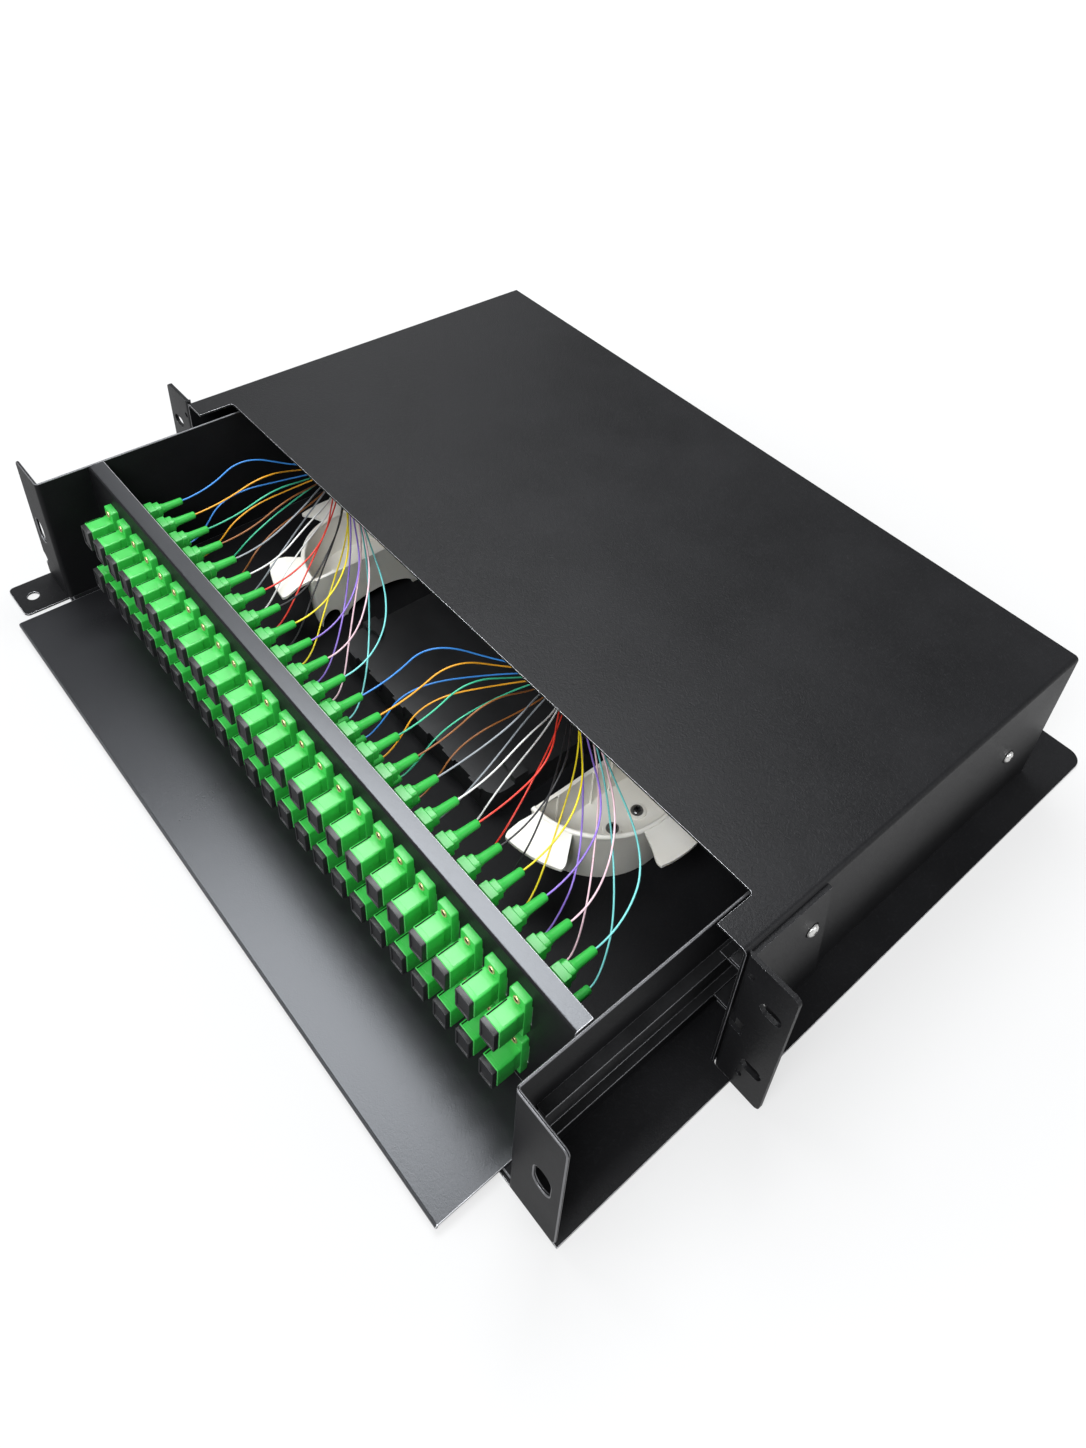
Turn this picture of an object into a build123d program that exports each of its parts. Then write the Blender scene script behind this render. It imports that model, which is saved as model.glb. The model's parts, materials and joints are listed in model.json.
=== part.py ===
from build123d import *
import os
from math import atan2, cos, degrees, pi, radians, sin, tan

# A slide-out fibre optic patch panel, two rack units high, in millimetres.
# X runs along the front to the right, Y to the rear, Z up. The origin is on the underside of the
# base plate, in the middle of the plane in which the two ears meet the rack.

# Rack interface
rack_width = 482.6
panel_height = 88.0
ear_reach = 25.3             # from a side wall to the end of its ear
slot_inset = 8.75            # from the end of an ear to the middle of its slots
slot_pitch_z = 44.45
slot_width = 6.5
slot_length = 10.5

# Chassis
body_depth = 236.0
sheet = 1.2
bend_radius = 2.5
recess_depth = 20.0          # the cover's front edge stands back this far between its two fingers
finger_width = 15.0
recess_corner = 2.0
flange_width = 17.0          # base plate beyond each side wall
rear_flange = 34.0           # base plate behind the rear panel
flange_corner = 8.0
shelf_side = 10.0            # base plate beyond each side wall, ahead of the ears
shelf_reach = 93.0
tab_width = 26.0             # tongue of the base plate at the front left, with one hole
tab_reach = 24.0
tab_corner = 3.0
tab_hole_radius = 3.2
tab_hole_inset = 9.0

# Ear brackets
ear_sheet = 2.0
ear_bend_radius = 3.0
ear_corner = 3.0
leg_top_length = 46.0
leg_bottom_length = 62.0
leg_top_gap = 3.0
notch_width = 8.0            # square cut-out at the ear's inner edge, for the drawer's fastener
notch_height = 8.5
notch_height_place = 41.0
pilot_radius = 1.6
upper_pilot = (4.5, 77.0)    # from the side wall, from the bottom
lower_pilot = (12.0, 12.0)
leg_screw_places = ((42.0, 58.0), (20.0, 27.5))   # depth, height

# Rear panel
entry_radius = 11.0
entry_inset = 66.0           # from a side wall to the middle of a cable entry
entry_height = 40.0
grommet_flange = 2.2
grommet_lip = 2.5
grommet_sides = 16
running_gap = 0.1

# Telescopic slides
slide_height = 35.0
slide_middle_z = 43.0
slide_length = 200.0
slide_front = 6.0            # from the rack plane to the front of the fixed member
slide_sheet = 1.3
slide_play = 0.5
middle_length = 150.0
member_overlap = 9.4         # reach of the fixed member's edges over the middle one
middle_to_drawer = 1.8       # from the middle member's edges to the drawer wall
inner_depth = 5.2
side_to_drawer = 16.0        # from a chassis wall to the drawer wall
rear_screw_inset = 8.0       # from a slide's rear end to its rear screw

# Drawer, shown drawn out
drawn_out = 91.5             # from shut to the place shown
drawer_depth = 231.5
drawer_top = 83.5
drawer_lift = 0.8            # above the base plate
drawer_ear_width = 26.2
drawer_ear_sheet = 1.5
drawer_ear_corner = 3.0
shut_gap = 0.5
ear_slot_width = 9.0
ear_slot_height = 15.5
ear_slot_inset = 10.0        # from the ear's outer edge
ear_mark_radius = 3.5
ear_mark_height = 15.0
upstand_height = 15.0
tray_side_gap = 4.6
tray_reach = 29.5            # ahead of the drawer's ears
tray_lip = 2.6

# Adapter bar, adapters and caps
bar_setback = 27.5           # behind the drawer's ears
bar_top = 84.0
bar_flange = 8.4
bar_end_gap = 0.4
columns = 24
bar_margin = 27.2            # from the bar's end to the middle of the first column
row_pitch = 30.5
row_middle = 46.0
adapter_width = 9.2
adapter_height = 12.9
adapter_front = 11.2
adapter_rear = 12.0
flange_height = 25.0
flange_sheet = 2.4
cutout_gap = 0.2
cap_width = 8.6
cap_height = 12.3
cap_depth = 2.2
cap_rim = 1.0
cap_recess = 0.8

# Connectors behind the bar
housing_width = 8.4
housing_height = 7.8
housing_length = 9.0
neck_size = 6.2
neck_length = 2.4
boot_base = 2.9
boot_tip = 1.6
boot_length = 12.0
boot_sides = 6

# Half-moon fibre guides
guide_x = 93.0               # the straight wall's face, from the middle
guide_y = 42.0
guide_radius = 42.0
guide_wall = 2.0
guide_floor = 2.0
guide_top = 39.0
guide_draft = 3.5            # the round wall's foot stands in by this much
bowl_depth = 24.0            # from the rim to the bowl's floor; the wall runs on below as a skirt
petal_reach = 17.0
petal_sheet = 1.8
petal_drop = 3.0             # fall of a petal's outer edge below the rim
petal_half_angle = 17.0
petal_root_share = 0.8
petal_angles = (-73.0, 0.0, 73.0)
petal_corner = 4.0
arch_height = 9.0
arch_places = ((10.0, 12.0), (42.0, 44.0), (74.0, 12.0))   # depth, width
rib_places = (14.0, 36.0, 48.0, 70.0)
rib_size = 0.9
guide_screw_places = ((20.0, 34.0), (20.0, 50.0))   # from the straight wall, depth
guide_screw_length = 8.0
post_radius = 4.0
boss_radius = 4.6
boss_height = 0.8

# Splice tray
tray_half = 66.0
splice_front = -1.0
splice_depth = 86.0
splice_height = 13.6
splice_wall = 1.6
splice_corner = 8.0
lid_sheet = 1.6
clip_width = 9.0
clip_drop = 5.0              # reach of a lid clip down the tray's front
clip_sheet = 1.2
clip_gap = 0.1
clip_count = 6
finger_lift = 2.6            # retaining fingers stand over the lid by this much
finger_sheet = 1.4
finger_root = 8.0
finger_reach = 14.0
finger_depth = 17.0
finger_post = 3.0
port_gap = 0.3
port_height = 10.0           # middle of a port, from the bottom
holder_length = 22.0
holder_height = 5.0
holder_rib = 1.0
sleeves_in_groove = 2
holder_base = 1.0
holder_places = (6.0, 38.0)
splices = 24
splice_pitch = 4.6
sleeve_width = 2.2
sleeve_length = 30.0

# Screw heads
screw_head_radius = 3.2
screw_head_height = 1.9
screw_shank_radius = 1.6
screw_sides = 10
screw_slope = 25.0
screw_hole_gap = 0.15

# Fibres
fibre_side = 0.8             # a square of the same area as the 0.9 mm buffer
fibre_spread = 0.66          # between neighbours at the mouth of a bundle
fibre_layer = 1.2
bundle_radius = 4.5
bundle_lead = 16.0           # straight length at the mouth
bundle_tail = 20.0           # straight length at the splice tray
bundle_corners = 6
bundle_sides = 8
mouth_depth = 75.0
mouth_height = 48.0
mouth_places = {"left": -158.0, "right": 50.0}
port_places = {"left": -48.0, "right": -18.0}
fibre_run_in = 15.0          # straight length of a fibre into its bundle
fibre_turn = 40.0            # a fibre turns toward its bundle this far ahead of the mouth
fibre_bow = 10.0             # how far a fibre swings outward before it turns in
fibre_rises = {"upper": (15.0, 40.0, 10.0, 9.0, 0.20),   # straight lead, depth and height of the crest,
               "lower": (6.0, 25.0, 20.5, 3.0, 0.18)}    # height over the mouth, share of the sway so far
colours = ("blue", "orange", "green", "brown", "slate", "white",
           "red", "black", "yellow", "violet", "rose", "aqua")

# Places worked out from the sizes above
body_width = rack_width - 2 * ear_reach
slot_pitch_x = rack_width - 2 * slot_inset
shelf_width = body_width + 2 * shelf_side
rear_screw_depth = slide_front + slide_length - rear_screw_inset
side_outer = body_width / 2
side_inner = side_outer - sheet
ear_front = -ear_sheet
drawer_wall_outer = side_inner - side_to_drawer
drawer_wall_inner = drawer_wall_outer - sheet
drawer_bottom = sheet + drawer_lift
floor_top = drawer_bottom + sheet
ear_back = ear_front - shut_gap - drawn_out
drawer_front = ear_back - drawer_ear_sheet
drawer_rear = drawer_front + drawer_depth
drawer_ear_outer = drawer_wall_outer + drawer_ear_width
bar_front = drawer_front + bar_setback
bar_rear = bar_front + sheet
row_heights = {"upper": row_middle + row_pitch / 2, "lower": row_middle - row_pitch / 2}
bar_half = drawer_wall_inner - bar_end_gap
column_pitch = 2 * (bar_half - bar_margin) / (columns - 1)
column_places = [(i - (columns - 1) / 2) * column_pitch for i in range(columns)]
flange_front = bar_front - flange_sheet
adapter_tip = flange_front - adapter_front
adapter_end = bar_front + adapter_rear
neck_start = adapter_end + housing_length
boot_start = neck_start + neck_length
boot_end = boot_start + boot_length
splice_rear = splice_front + splice_depth
splice_top = floor_top + splice_height


def block(x0, x1, y0, y1, z0, z1):
    """A cuboid between two corners."""
    size = (x1 - x0, y1 - y0, z1 - z0)
    return Pos((x0 + x1) / 2, (y0 + y1) / 2, (z0 + z1) / 2) * Box(*size)


def along_y(profile, y0, y1):
    """A profile drawn in X and Z, run from one depth to another."""
    plane = Plane(origin=(0, y0, 0), x_dir=(1, 0, 0), z_dir=(0, -1, 0))
    return extrude(plane * profile, amount=-(y1 - y0))


def along_x(profile, x0, x1):
    """A profile drawn in Y and Z, run from left to right."""
    plane = Plane(origin=(x0, 0, 0), x_dir=(0, 1, 0), z_dir=(1, 0, 0))
    return extrude(plane * profile, amount=x1 - x0)


def along_z(profile, z0, z1):
    """A profile drawn in X and Y, run upward."""
    return extrude(Pos(0, 0, z0) * profile, amount=z1 - z0)


def outline(*points):
    """A flat face with straight sides."""
    return make_face(Polyline(*points, close=True))


def bore_x(x0, x1, y, z, radius):
    """A round pin or hole along X."""
    return Pos((x0 + x1) / 2, y, z) * Rot(0, 90, 0) * Cylinder(radius, x1 - x0)


def bore_y(x, y0, y1, z, radius):
    """A round pin or hole along Y."""
    return Pos(x, (y0 + y1) / 2, z) * Rot(90, 0, 0) * Cylinder(radius, y1 - y0)


def bore_z(x, y, z0, z1, radius):
    """A round pin or hole along Z."""
    return Pos(x, y, (z0 + z1) / 2) * Cylinder(radius, z1 - z0)


def group(solids):
    """Separate solids of one node."""
    return Compound(children=list(solids))


def mirrored(shape):
    """The left-hand piece of a pair."""
    return mirror(shape, about=Plane.YZ)


def at_side(shape, side):
    """A piece drawn for the right, moved to the side that is asked for."""
    return shape if side > 0 else mirrored(shape)


# Chassis
def base_plate():
    """One flat sheet: side and rear flanges, a front shelf under the drawer and the left tongue."""
    side = side_outer + flange_width
    rear = body_depth + rear_flange
    body = Pos(0, rear / 2) * Rectangle(2 * side, rear)
    body = fillet(body.vertices().group_by(Axis.Y)[-1], flange_corner)
    shelf_front = ear_front - shelf_reach
    shelf = Pos(0, shelf_front / 2) * Rectangle(shelf_width, -shelf_front)
    tab_x = -(shelf_width - tab_width) / 2
    tab = Pos(tab_x, shelf_front - tab_reach / 2) * Rectangle(tab_width, tab_reach)
    tab = fillet(tab.vertices().group_by(Axis.Y)[0], tab_corner)
    hole = Pos(tab_x, shelf_front - tab_reach + tab_hole_inset) * Circle(tab_hole_radius)
    plate = along_z(body + shelf + tab - hole, 0, sheet)
    ear_space = block(side_outer, rack_width / 2, ear_front, 0, 0, sheet)
    bend = ear_space.edges().filter_by(Axis.Z).sort_by_distance((side_outer, ear_front, 0))[0]
    ear_space = fillet(bend, ear_sheet - running_gap)
    return plate - [ear_space, mirrored(ear_space)]


def top_cover():
    """Top and both side walls, folded from one sheet, with the recessed front edge."""
    height = panel_height - sheet
    outer = Pos(0, sheet + height / 2) * Rectangle(body_width, height)
    outer = fillet(outer.vertices().group_by(Axis.Y)[-1], bend_radius)
    inner = Pos(0, height / 2) * Rectangle(2 * side_inner, height)
    inner = fillet(inner.vertices().group_by(Axis.Y)[-1], bend_radius - sheet)
    cover = along_y(outer - inner, ear_front, body_depth)
    recess_half = side_outer - finger_width
    recess = Pos(0, ear_front) * Rectangle(2 * recess_half, 2 * recess_depth)
    recess = fillet(recess.vertices().group_by(Axis.Y)[-1], recess_corner)
    cover -= along_z(recess, panel_height - bend_radius, panel_height)
    for side in (-1, 1):
        for depth, height in leg_screw_places + ((rear_screw_depth, slide_middle_z),):
            wall = sorted((side * side_inner, side * side_outer))
            cover -= bore_x(*wall, depth, height, screw_shank_radius + screw_hole_gap)
    return cover


def ear_bracket(side):
    """An angle bracket: the slotted rack ear and a leg with a slanted end on the side wall."""
    ear_outer = rack_width / 2
    leg_outer = side_outer + ear_sheet
    angle = outline((side_outer, leg_bottom_length), (side_outer, ear_front), (ear_outer, ear_front),
                    (ear_outer, 0), (leg_outer, 0), (leg_outer, leg_bottom_length))
    bend = angle.vertices().sort_by_distance((side_outer, ear_front, 0))[0]
    angle = fillet(bend, ear_bend_radius)
    crook = angle.vertices().sort_by_distance((leg_outer, 0, 0))[0]
    angle = fillet(crook, ear_bend_radius - ear_sheet)
    bracket = along_z(angle, 0, panel_height)
    bracket = fillet(bracket.edges().filter_by(Axis.Y).group_by(Axis.X)[-1], ear_corner)
    leg_top = panel_height - leg_top_gap
    slant = outline((leg_top_length, leg_top), (leg_bottom_length + ear_sheet, leg_top),
                    (leg_bottom_length + ear_sheet, sheet), (leg_bottom_length, sheet))
    bracket -= along_x(slant, side_outer, leg_outer)
    bracket -= block(side_outer, leg_outer, 0, leg_bottom_length, leg_top, panel_height)
    bracket -= block(side_outer, leg_outer + ear_bend_radius, 0, leg_bottom_length, 0, sheet)
    for rise in (-1, 1):
        slot = SlotOverall(slot_length, slot_width)
        place = Pos(slot_pitch_x / 2, panel_height / 2 + rise * slot_pitch_z / 2)
        bracket -= along_y(place * slot, ear_front, 0)
    for across, height in (upper_pilot, lower_pilot):
        bracket -= bore_y(side_outer + across, ear_front, 0, height, pilot_radius)
    bracket -= block(side_outer, side_outer + notch_width, ear_front, 0,
                     notch_height_place - notch_height / 2, notch_height_place + notch_height / 2)
    for depth, height in leg_screw_places:
        bracket -= bore_x(side_outer, leg_outer, depth, height, screw_shank_radius + screw_hole_gap)
    return at_side(bracket, side)


def rear_panel():
    """The rear wall between the side walls, with round cable entries."""
    wall = block(-side_inner, side_inner, body_depth - sheet, body_depth, sheet, panel_height - sheet)
    for x in (entry_inset - side_outer, side_outer - entry_inset):
        wall -= bore_y(x, body_depth - sheet, body_depth, entry_height, entry_radius)
    edges = wall.edges().filter_by(Axis.Y).group_by(Axis.Z)[-1]
    return fillet(edges, bend_radius - sheet)


def cable_grommets():
    """A closed rubber grommet in each cable entry: two flanges and a waist in the sheet."""
    waist = entry_radius - running_gap
    rim = entry_radius + grommet_lip
    rear = body_depth + running_gap
    front = body_depth - sheet - running_gap
    base = Plane(origin=(0, front - grommet_flange, entry_height), x_dir=(1, 0, 0), z_dir=(0, 1, 0))
    steps = ((rim, grommet_flange), (waist, rear - front), (rim, grommet_flange))
    plug = None
    for radius, length in steps:
        disc = extrude(base * RegularPolygon(radius, grommet_sides), amount=length)
        plug = disc if plug is None else plug + disc
        base = base.offset(length)
    return group(Pos(x, 0, 0) * plug for x in (entry_inset - side_outer, side_outer - entry_inset))


def channel(web_x, open_x, half_height, y0, y1):
    """A folded channel along Y: its web stands at web_x and its edges reach to open_x."""
    turn = 1 if open_x > web_x else -1
    middle = (web_x + open_x) / 2
    width = abs(open_x - web_x)
    outer = Pos(middle, slide_middle_z) * Rectangle(width, 2 * half_height)
    hollow_x = middle + turn * slide_sheet
    inner = Pos(hollow_x, slide_middle_z) * Rectangle(width, 2 * (half_height - slide_sheet))
    return along_y(outer - inner, y0, y1)


def slide_outer(side):
    """The slide's fixed member, on the inside of a chassis wall."""
    member = channel(side_inner, side_inner - member_overlap, slide_height / 2,
                     slide_front, slide_front + slide_length)
    return at_side(member, side)


def slide_middle(side):
    """The slide's middle member, which travels half as far as the drawer."""
    web = side_inner - slide_sheet - slide_play
    half = slide_height / 2 - slide_sheet - slide_play
    member = channel(web, drawer_wall_outer + middle_to_drawer, half, slide_front, slide_front + middle_length)
    return at_side(member, side)


def slide_inner(side):
    """The slide's moving member, a shallow rail on the outside of a drawer wall."""
    half = slide_height / 2 - 2 * (slide_sheet + slide_play)
    front = slide_front - drawn_out
    member = channel(drawer_wall_outer, drawer_wall_outer + inner_depth, half, front, front + slide_length)
    return at_side(member, side)


def screw(shank_length):
    """A pan-head screw that points down, its head seated at the origin."""
    rim = RegularPolygon(screw_head_radius, screw_sides)
    head = extrude(rim, amount=screw_head_height, taper=screw_slope)
    return head + extrude(RegularPolygon(screw_shank_radius, screw_sides), amount=-shank_length)


def side_screw(side, head_x, depth, height):
    """A screw through a side wall, its head outside and its tip on the slide."""
    return at_side(Pos(head_x, depth, height) * Rot(0, 90, 0) * screw(head_x - side_inner), side)


def bracket_screws():
    """Screws that hold each ear bracket and the front of each slide."""
    head_x = side_outer + ear_sheet
    return group(side_screw(side, head_x, depth, height)
                 for side in (-1, 1) for depth, height in leg_screw_places)


def slide_screws():
    """Screws that hold the rear of each slide."""
    return group(side_screw(side, side_outer, rear_screw_depth, slide_middle_z) for side in (-1, 1))


# Drawer
def drawer_side(side):
    """A drawer wall with its front ear bent outward."""
    angle = outline((drawer_wall_inner, drawer_rear), (drawer_wall_inner, drawer_front),
                    (drawer_ear_outer, drawer_front), (drawer_ear_outer, ear_back),
                    (drawer_wall_outer, ear_back), (drawer_wall_outer, drawer_rear))
    bend = angle.vertices().sort_by_distance((drawer_wall_inner, drawer_front, 0))[0]
    wall = along_z(fillet(bend, bend_radius), drawer_bottom, drawer_top)
    wall = fillet(wall.edges().filter_by(Axis.Y).group_by(Axis.X)[-1], drawer_ear_corner)
    slot = SlotOverall(ear_slot_height, ear_slot_width)
    place = Pos(drawer_ear_outer - ear_slot_inset, notch_height_place) * Rot(0, 0, 90)
    wall -= along_y(place * slot, drawer_front, ear_back)
    if side < 0:
        wall -= bore_y(drawer_ear_outer, drawer_front, ear_back, ear_mark_height, ear_mark_radius)
    return at_side(wall, side)


def drawer_floor():
    """The drawer's floor, with an upstand folded along its rear edge."""
    upstand_front = drawer_rear - sheet
    fold = outline((ear_back, drawer_bottom), (drawer_rear, drawer_bottom),
                   (drawer_rear, drawer_bottom + upstand_height),
                   (upstand_front, drawer_bottom + upstand_height),
                   (upstand_front, floor_top), (ear_back, floor_top))
    corner = fold.vertices().sort_by_distance((drawer_rear, drawer_bottom, 0))[0]
    return along_x(fillet(corner, bend_radius - sheet), -drawer_wall_inner, drawer_wall_inner)


def front_tray():
    """The flat tray ahead of the adapters, with its front edge folded down."""
    front = drawer_front - tray_reach
    top = floor_top + sheet
    fold = outline((front, top - tray_lip), (front + sheet, top - tray_lip), (front + sheet, floor_top),
                   (bar_front, floor_top), (bar_front, top), (front, top))
    corner = fold.vertices().sort_by_distance((front, top, 0))[0]
    half = drawer_wall_inner - tray_side_gap
    return along_x(fillet(corner, sheet), -half, half)


def adapter_bar():
    """A channel between the drawer walls, with one opening for each adapter."""
    flange_end = bar_front + bar_flange
    fold = outline((bar_front, floor_top), (flange_end, floor_top), (flange_end, floor_top + sheet),
                   (bar_rear, floor_top + sheet), (bar_rear, bar_top - sheet),
                   (flange_end, bar_top - sheet), (flange_end, bar_top), (bar_front, bar_top))
    corner = fold.vertices().sort_by_distance((bar_front, bar_top, 0))[0]
    bar = along_x(fillet(corner, bend_radius - sheet), -bar_half, bar_half)
    opening = Box(adapter_width + 2 * cutout_gap, sheet, adapter_height + 2 * cutout_gap)
    middle = bar_front + sheet / 2
    return bar - [Pos(x, middle, z) * opening for x in column_places for z in row_heights.values()]


def adapters(row):
    """One row of square-bodied adapters: a flange on the bar, a front body and a rear body."""
    z = row_heights[row]
    body = adapter_height / 2
    ear = flange_height / 2
    side_view = outline((adapter_tip, -body), (flange_front, -body), (flange_front, -ear),
                        (bar_front, -ear), (bar_front, -body), (adapter_end, -body),
                        (adapter_end, body), (bar_front, body), (bar_front, ear),
                        (flange_front, ear), (flange_front, body), (adapter_tip, body))
    adapter = along_x(side_view, -adapter_width / 2, adapter_width / 2)
    return group(Pos(x, 0, z) * adapter for x in column_places)


def dust_caps(row):
    """One row of dust caps, each a plate with a sunken middle on an adapter's front."""
    z = row_heights[row]
    cap = block(-cap_width / 2, cap_width / 2, adapter_tip - cap_depth, adapter_tip,
                -cap_height / 2, cap_height / 2)
    cap -= block(cap_rim - cap_width / 2, cap_width / 2 - cap_rim,
                 adapter_tip - cap_depth, adapter_tip - cap_depth + cap_recess,
                 cap_rim - cap_height / 2, cap_height / 2 - cap_rim)
    return group(Pos(x, 0, z) * cap for x in column_places)


def connectors(row):
    """One row of pigtail connectors: a housing in the adapter's rear and a narrower neck."""
    z = row_heights[row]
    housing = block(-housing_width / 2, housing_width / 2, adapter_end, neck_start,
                    -housing_height / 2, housing_height / 2)
    neck = block(-neck_size / 2, neck_size / 2, neck_start, boot_start, -neck_size / 2, neck_size / 2)
    connector = housing + neck
    return group(Pos(x, 0, z) * connector for x in column_places)


def boots(row):
    """One row of tapered boots, from the connectors' necks to the fibres."""
    z = row_heights[row]
    base = Plane(origin=(0, boot_start, 0), x_dir=(1, 0, 0), z_dir=(0, 1, 0))
    slope = degrees(atan2(boot_base - boot_tip, boot_length))
    boot = extrude(base * RegularPolygon(boot_base, boot_sides), amount=boot_length, taper=slope)
    return group(Pos(x, 0, z) * boot for x in column_places)


# Fibre guides
def guide_radius_at(z):
    """The round wall's radius at a height: it leans outward to the rim."""
    return guide_radius - guide_draft * (guide_top - z) / (guide_top - floor_top)


def half_drum(z0, z1, inset):
    """Half of the guide's tapered drum, drawn in by a wall, with its straight side along Y."""
    drum = Cone(guide_radius_at(z0) - inset, guide_radius_at(z1) - inset, z1 - z0)
    half = block(inset, guide_radius, -guide_radius, guide_radius, z0, z1)
    return Pos(0, 0, (z0 + z1) / 2) * drum & half


def petal(angle):
    """A lip at the rim that droops outward and keeps fibres on the round wall."""
    near = guide_radius - guide_wall / 2
    middle = guide_radius + petal_reach / 2
    far = guide_radius + petal_reach
    under = guide_top - petal_sheet
    section = outline((near, under), (middle, under), (far, under - petal_drop),
                      (far, guide_top - petal_drop), (middle, guide_top), (near, guide_top))
    spread = radians(petal_half_angle)
    narrow = spread * petal_root_share
    plan = outline((near * cos(narrow), -near * sin(narrow)), (far, -far * sin(spread)),
                   (far, far * sin(spread)), (near * cos(narrow), near * sin(narrow)))
    plan = fillet(plan.vertices().group_by(Axis.X)[-1], petal_corner)
    drooped = Rot(0, 0, -90) * revolve(Plane.XZ * section, axis=Axis.Z, revolution_arc=180)
    lip = drooped & along_z(plan, under - petal_drop, guide_top)
    return Rot(0, 0, angle) * lip


def fibre_guide(side):
    """A half-moon bowl on a skirt: drafted wall, petals at its rim, arches under its straight wall."""
    sill = guide_top - bowl_depth
    under = sill - guide_floor
    seat = sill + boss_height
    bowl = half_drum(floor_top, guide_top, 0)
    bowl -= half_drum(sill, guide_top, guide_wall)
    bowl -= half_drum(floor_top, under, guide_wall)
    for angle in petal_angles:
        bowl += petal(angle)
    for depth, width in arch_places:
        hood = Ellipse(width / 2, arch_height) & Pos(0, arch_height / 2) * Rectangle(width, arch_height)
        bowl -= along_x(Pos(depth - guide_y, floor_top) * hood, 0, guide_wall)
    for depth in rib_places:
        middle = depth - guide_y
        bowl += block(guide_wall, guide_wall + rib_size, middle - rib_size / 2, middle + rib_size / 2,
                      sill, guide_top)
    for across, depth in guide_screw_places:
        middle = depth - guide_y
        bowl += bore_z(across, middle, floor_top, under, post_radius)
        bowl += bore_z(across, middle, sill, seat, boss_radius)
        bowl -= bore_z(across, middle, seat - guide_screw_length, seat, screw_shank_radius + screw_hole_gap)
    return at_side(Pos(guide_x, guide_y, 0) * bowl, side)


def guide_screws():
    """Two screws in the floor of each guide."""
    seat = guide_top - bowl_depth + boss_height
    return group(at_side(Pos(guide_x + across, depth, seat) * screw(guide_screw_length), side)
                 for side in (-1, 1) for across, depth in guide_screw_places)


# Splice tray
def splice_outline(inset):
    """The splice tray's plan with rounded corners, drawn in by a wall."""
    width = 2 * (tray_half - inset)
    depth = splice_depth - 2 * inset
    return Pos(0, splice_front + splice_depth / 2) * RectangleRounded(width, depth, splice_corner - inset)


def splice_tray():
    """An open tray with rounded corners and two ports in its rear wall."""
    tray = along_z(splice_outline(0), floor_top, splice_top)
    tray -= along_z(splice_outline(splice_wall), floor_top + splice_wall, splice_top)
    for x in port_places.values():
        tray -= bore_y(x, splice_rear - splice_wall, splice_rear, port_height, bundle_radius + port_gap)
    return tray


def retaining_finger():
    """A pointed finger on a post at the lid's right edge, under which fibres are laid."""
    edge = tray_half
    near = finger_depth - finger_root / 2
    far = finger_depth + finger_root / 2
    lid_top = splice_top + lid_sheet
    root = finger_post + splice_wall
    tip = Line((edge, near), (edge - root, near)) + RadiusArc(
        (edge - root, near), (edge - finger_reach, near + splice_wall), -finger_reach)
    back = RadiusArc((edge - finger_reach, near + splice_wall), (edge - root, far), finger_reach)
    hook = make_face(tip + back + Polyline((edge - root, far), (edge, far), (edge, near)))
    post = block(edge - finger_post, edge, near, far, lid_top, lid_top + finger_lift)
    return post + along_z(hook, lid_top + finger_lift, lid_top + finger_lift + finger_sheet)


def splice_tray_lid():
    """A flat lid with clips over the tray's front and a pointed finger at either side."""
    lid = along_z(splice_outline(0), splice_top, splice_top + lid_sheet)
    span = 2 * (tray_half - splice_corner) - clip_width
    clip_back = splice_front - clip_gap
    for i in range(clip_count):
        x = -span / 2 + i * span / (clip_count - 1)
        lid += block(x - clip_width / 2, x + clip_width / 2, clip_back - clip_sheet, splice_front,
                     splice_top, splice_top + lid_sheet)
        lid += block(x - clip_width / 2, x + clip_width / 2, clip_back - clip_sheet, clip_back,
                     splice_top - clip_drop, splice_top)
    for side in (-1, 1):
        lid += at_side(retaining_finger(), side)
    return lid


def splice_holder(place):
    """A comb of ribs in which the splice sleeves lie side by side."""
    grooves = round(splices / sleeves_in_groove)
    pitch = sleeves_in_groove * splice_pitch
    half = (grooves * pitch + holder_rib) / 2
    y0 = splice_front + place + (sleeve_length - holder_length) / 2
    z0 = floor_top + splice_wall
    comb = block(-half, half, y0, y0 + holder_length, z0, z0 + holder_base)
    for i in range(grooves + 1):
        x = (i - grooves / 2) * pitch
        comb += block(x - holder_rib / 2, x + holder_rib / 2, y0, y0 + holder_length,
                      z0 + holder_base, z0 + holder_height)
    return comb


def splice_holders():
    """Two combs, one behind the other."""
    return group(splice_holder(place) for place in holder_places)


def splice_sleeves():
    """One shrunk sleeve over each splice, lying in its groove."""
    z0 = floor_top + splice_wall + holder_base
    half = sleeve_width / 2
    sleeves = []
    for place in holder_places:
        y0 = splice_front + place
        for i in range(splices):
            x = (i + 0.5 - splices / 2) * splice_pitch
            sleeves.append(block(x - half, x + half, y0, y0 + sleeve_length, z0, z0 + sleeve_width))
    return group(sleeves)


# Fibres
def bundle_route(half):
    """A half turn behind a fibre guide, sinking from the bundle's mouth to the splice tray's port."""
    start = mouth_places[half]
    port = port_places[half]
    turn = pi / bundle_corners
    reach = (port - start) / 2 / cos(turn / 2)
    middle_x = (start + port) / 2
    middle_y = mouth_depth + bundle_lead - abs(reach) * sin(turn / 2)
    route = [(start, mouth_depth, mouth_height)]
    for k in range(bundle_corners):
        angle = (k + 0.5) * turn
        sunk = (1 - cos(pi * k / (bundle_corners - 1))) / 2
        height = mouth_height + sunk * (port_height - mouth_height)
        route.append((middle_x - reach * cos(angle), middle_y + abs(reach) * sin(angle), height))
    route.append((port, route[-1][1] - bundle_tail, port_height))
    return route


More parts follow.
